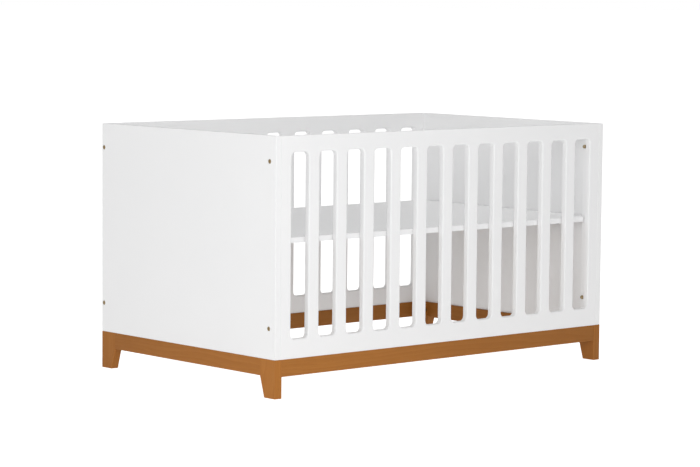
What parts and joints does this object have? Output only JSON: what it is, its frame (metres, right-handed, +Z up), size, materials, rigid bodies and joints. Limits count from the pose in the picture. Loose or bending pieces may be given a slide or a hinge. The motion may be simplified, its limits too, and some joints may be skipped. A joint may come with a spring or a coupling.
{
  "type": "baby crib",
  "caption": "Low baby crib: white box with plain ends and slatted front and back, lift-out mattress board on brackets, on a tapered-leg timber base.",
  "frame": {"origin": "on the floor under the centre of the crib", "axes": "+Z up, +X along the length to the right as seen from the front, -Y towards the front"},
  "size_m": [1.34, 0.83, 0.75],
  "materials": {
    "white_lacquer": "satin white lacquer on fibreboard",
    "honey_timber": "satin honey-brown stained solid timber",
    "birch": "plain unfinished hardwood",
    "yellow_zinc": "yellow-passivated steel",
    "zinc_steel": "bright zinc-plated steel"
  },
  "bodies": {
    "crib_frame": {"left_end_panel": "white_lacquer", "right_end_panel": "white_lacquer", "front_slatted_side": "white_lacquer", "back_slatted_side": "white_lacquer", "front_left_batten": "white_lacquer", "front_right_batten": "white_lacquer", "batten_screws": "zinc_steel", "front_bolts_left": "yellow_zinc", "front_bolts_right": "yellow_zinc", "cap_nuts_left": "yellow_zinc", "cap_nuts_right": "yellow_zinc", "back_bolts_left": "yellow_zinc", "back_bolts_right": "yellow_zinc", "barrel_nuts_left": "zinc_steel", "barrel_nuts_right": "zinc_steel", "panel_dowels_left": "birch", "panel_dowels_right": "birch", "support_brackets_left": "zinc_steel", "support_brackets_right": "zinc_steel", "bracket_bolts_left": "yellow_zinc", "bracket_bolts_right": "yellow_zinc", "level_inserts_left": "yellow_zinc", "level_inserts_right": "yellow_zinc", "front_left_leg": "honey_timber", "front_right_leg": "honey_timber", "back_left_leg": "honey_timber", "back_right_leg": "honey_timber", "left_end_rail": "honey_timber", "right_end_rail": "honey_timber", "front_rail": "honey_timber", "back_rail": "honey_timber", "base_dowels": "birch", "corner_blocks": "honey_timber", "corner_block_screws": "yellow_zinc", "base_screws_sides": "zinc_steel", "base_screws_ends": "zinc_steel"},
    "platform": {"mattress_platform": "white_lacquer", "platform_battens": "birch", "platform_screws": "zinc_steel"}
  },
  "joints": [
    {"name": "platform_lift", "type": "slide", "parent": "crib_frame", "child": "platform", "axis": [0, 0, 1], "range_m": [0, 0.33]}
  ]
}
